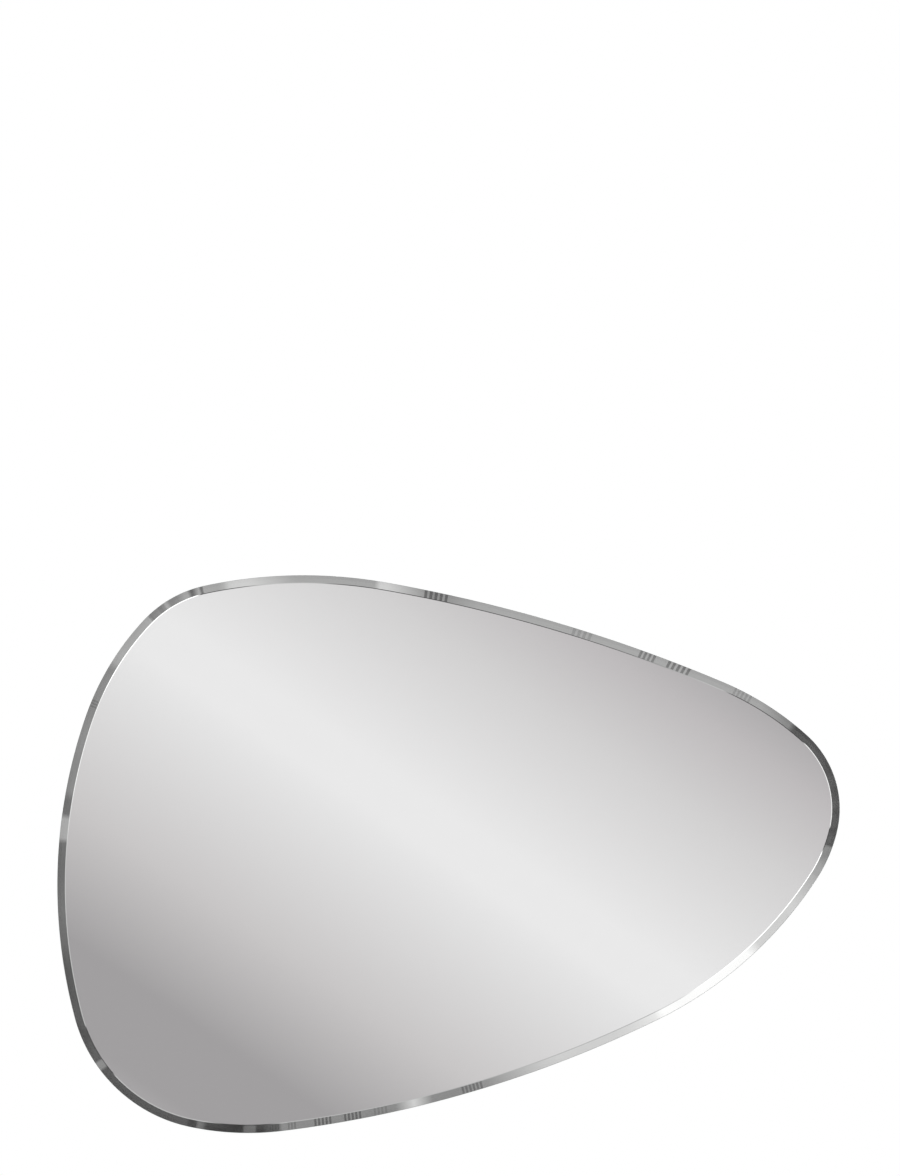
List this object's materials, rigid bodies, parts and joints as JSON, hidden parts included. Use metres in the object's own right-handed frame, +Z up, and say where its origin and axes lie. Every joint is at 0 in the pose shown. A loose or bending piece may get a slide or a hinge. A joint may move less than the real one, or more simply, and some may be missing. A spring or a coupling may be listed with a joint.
{
  "type": "irregular shaped wall mirror",
  "caption": "Frameless pebble-shaped wall mirror with a polished bevel all round, a black backing board, swinging D-ring hangers and rubber wall bumpers.",
  "frame": {"origin": "on the wall's plane, behind the middle of the mirror's width and height", "axes": "+X to the viewer's right along the mirror's width, +Y into the wall, +Z up; the glass faces -Y"},
  "size_m": [0.8695, 0.0216, 0.6197],
  "materials": {
    "float_glass": "polished",
    "silver": "bright",
    "back_paint": "matt grey paint",
    "foam_tape": "matt white foam",
    "mirror_adhesive": "satin",
    "painted_board": "matt black paint",
    "zinc_steel": "zinc plated",
    "zinc_screws": "zinc plated",
    "zinc_wire": "bright zinc",
    "bumper_rubber": "matt"
  },
  "bodies": {
    "mirror": {"bevelled_glass": "float_glass", "silver_coating": "silver", "back_paint": "back_paint", "mounting_tape": "foam_tape", "adhesive_beads": "mirror_adhesive", "backing_board": "painted_board", "strap_landscape_left": "zinc_steel", "strap_landscape_right": "zinc_steel", "strap_portrait_upper": "zinc_steel", "strap_portrait_lower": "zinc_steel", "screws_landscape_left": "zinc_screws", "screws_landscape_right": "zinc_screws", "screws_portrait_upper": "zinc_screws", "screws_portrait_lower": "zinc_screws", "bumper_upper_left": "bumper_rubber", "bumper_lower_left": "bumper_rubber", "bumper_upper_right": "bumper_rubber", "bumper_lower_right": "bumper_rubber"},
    "ring_landscape_left": {"d_ring_landscape_left": "zinc_wire"},
    "ring_landscape_right": {"d_ring_landscape_right": "zinc_wire"},
    "ring_portrait_upper": {"d_ring_portrait_upper": "zinc_wire"},
    "ring_portrait_lower": {"d_ring_portrait_lower": "zinc_wire"}
  },
  "joints": [
    {"name": "swing_landscape_left", "type": "hinge", "parent": "mirror", "child": "ring_landscape_left", "pos_m": [-0.247, -0.00342, 0.15], "axis": [-1, 0, 0], "range_deg": [-2, 165]},
    {"name": "swing_landscape_right", "type": "hinge", "parent": "mirror", "child": "ring_landscape_right", "pos_m": [0.153, -0.00342, 0.15], "axis": [-1, 0, 0], "range_deg": [-2, 165]},
    {"name": "swing_portrait_upper", "type": "hinge", "parent": "mirror", "child": "ring_portrait_upper", "pos_m": [0.205, -0.00342, 0.096], "axis": [0, 0, 1], "range_deg": [-2, 165]},
    {"name": "swing_portrait_lower", "type": "hinge", "parent": "mirror", "child": "ring_portrait_lower", "pos_m": [0.205, -0.00342, -0.084], "axis": [0, 0, 1], "range_deg": [-2, 165]}
  ]
}
